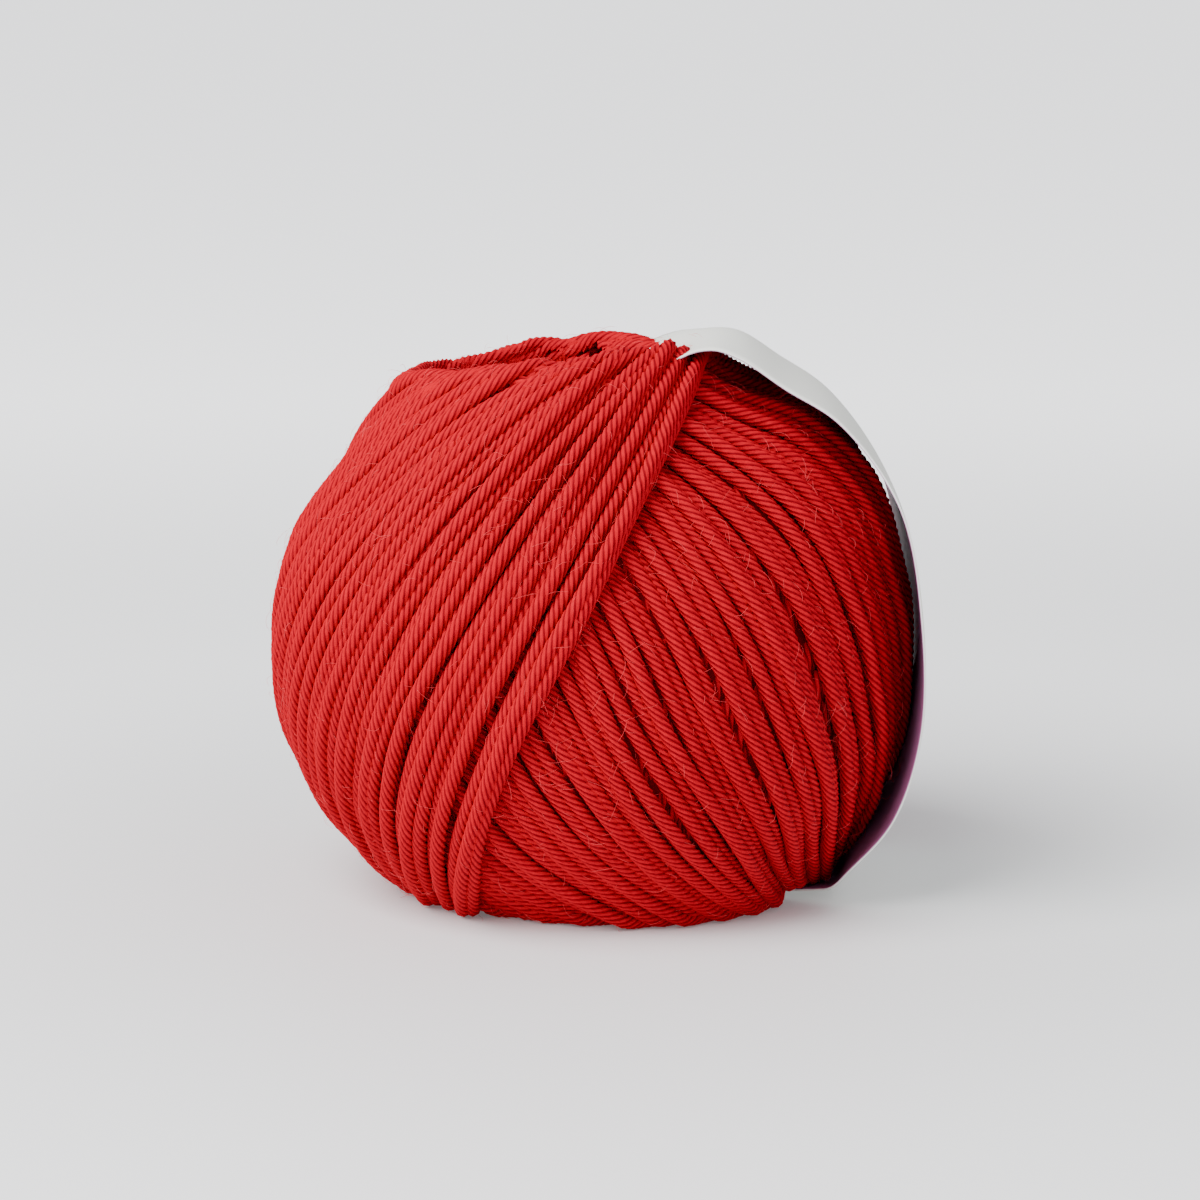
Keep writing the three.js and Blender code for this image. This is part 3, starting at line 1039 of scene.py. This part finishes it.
def floor_material():
    """A pale floor that glows with painted light: least near its middle, which keeps the ball's
    shadow as painted shade, more away from it, and most towards the back.
    """
    material, tree, shader = material_with("floor_pale")
    place = add_node(tree, "ShaderNodeTexCoord", {}).outputs["Object"]
    reach = add_node(tree, "ShaderNodeVectorMath", {0: place}, operation="LENGTH")
    parts = add_node(tree, "ShaderNodeSeparateXYZ", {"Vector": place})
    # Painted light: the glow is least round the ball, for its shadow, and rises away from it and
    # towards the back
    ramps = [
        add_node(tree, "ShaderNodeMapRange", {
            "Value": source, "From Min": near, "From Max": far, "To Min": least, "To Max": most,
        }, interpolation_type="SMOOTHSTEP").outputs[0]
        for source, near, far, least, most in (
            (reach.outputs["Value"], 0.045, 0.16, 0.12, 0.52),
            (parts.outputs["Y"], 0.16, 0.5, 0.0, 0.85),
        )
    ]
    glow = add_node(tree, "ShaderNodeMath", dict(enumerate(ramps)), operation="ADD")
    set_inputs(tree, shader, {
        "Base Color": (0.86, 0.86, 0.865, 1),
        "Emission Color": (0.98, 0.98, 1, 1),
        "Emission Strength": glow.outputs[0],
    })
    return material


def aim(name, data, place, direction):
    """Stands a light or a camera at a place, looking along a direction."""
    thing = bpy.data.objects.new(name, data)
    bpy.context.scene.collection.objects.link(thing)
    thing.location = place
    thing.rotation_euler = direction.to_track_quat("-Z", "Y").to_euler()
    return thing


class YARNBALL_OT_stage(bpy.types.Operator):
    """Set the pale floor, the soft light and the camera"""

    bl_idname = "yarnball.stage"
    bl_label = "Set Stage"

    def execute(self, context):
        scene = context.scene
        bpy.ops.mesh.primitive_plane_add(size=60)
        floor = context.active_object
        floor.name = "floor"
        floor.data.materials.append(floor_material())

        world = bpy.data.worlds.new("soft_room")
        world.use_nodes = True
        set_inputs(world.node_tree, world.node_tree.nodes["Background"], {
            "Color": (0.9, 0.92, 0.95, 1),
            "Strength": 0.7,
        })
        scene.world = world

        window = bpy.data.lights.new("window", "AREA")
        window.shape = "SQUARE"
        window.size = WINDOW_SIZE
        window.energy = WINDOW_POWER
        middle = Vector((0, 0, CENTRE_Z * MM))
        aim("window", window, WINDOW_PLACE, middle - Vector(WINDOW_PLACE))

        away = Vector((0, -math.cos(CAMERA_ELEVATION), math.sin(CAMERA_ELEVATION)))
        up = Vector((0, math.sin(CAMERA_ELEVATION), math.cos(CAMERA_ELEVATION)))
        right, raised = PICTURE_MIDDLE
        target = Vector((CENTRE_X * MM, 0, CENTRE_Z * MM)) + raised * MM * up
        target += Vector((right * MM, 0, 0))
        camera = bpy.data.cameras.new("camera")
        camera.sensor_width = SENSOR
        camera.lens = SENSOR * CAMERA_DISTANCE / PICTURE_WIDTH
        camera.clip_start = 0.01
        scene.camera = aim("camera", camera, target + away * (CAMERA_DISTANCE * MM), -away)
        return {"FINISHED"}


class YARNBALL_PT_panel(bpy.types.Panel):
    """Lists the steps that build the ball of yarn"""

    bl_label = "Yarn Ball"
    bl_idname = "YARNBALL_PT_panel"
    bl_space_type = "VIEW_3D"
    bl_region_type = "UI"
    bl_category = "Yarn Ball"

    def draw(self, context):
        column = self.layout.column()
        for settings in (context.scene.yarn_ball, context.scene.paper_band):
            for name in settings.bl_rna.properties.keys():
                if name not in ("rna_type", "name"):
                    column.prop(settings, name)
        for step in ("stage", "core", "turns", "fibres", "band"):
            column.operator(f"yarnball.{step}")


classes = (
    YarnSettings, BandSettings, YARNBALL_OT_turns, YARNBALL_OT_band, YARNBALL_OT_fibres,
    YARNBALL_OT_core, YARNBALL_OT_stage, YARNBALL_PT_panel,
)


def register():
    for cls in classes:
        bpy.utils.register_class(cls)
    bpy.types.Scene.yarn_ball = bpy.props.PointerProperty(type=YarnSettings)
    bpy.types.Scene.paper_band = bpy.props.PointerProperty(type=BandSettings)


def unregister():
    del bpy.types.Scene.paper_band
    del bpy.types.Scene.yarn_ball
    for cls in reversed(classes):
        bpy.utils.unregister_class(cls)


def main():
    register()
    bpy.ops.yarnball.stage()
    bpy.ops.yarnball.core()
    bpy.ops.yarnball.turns()
    bpy.ops.yarnball.fibres()
    bpy.ops.yarnball.band()


if __name__ == "__main__":
    main()
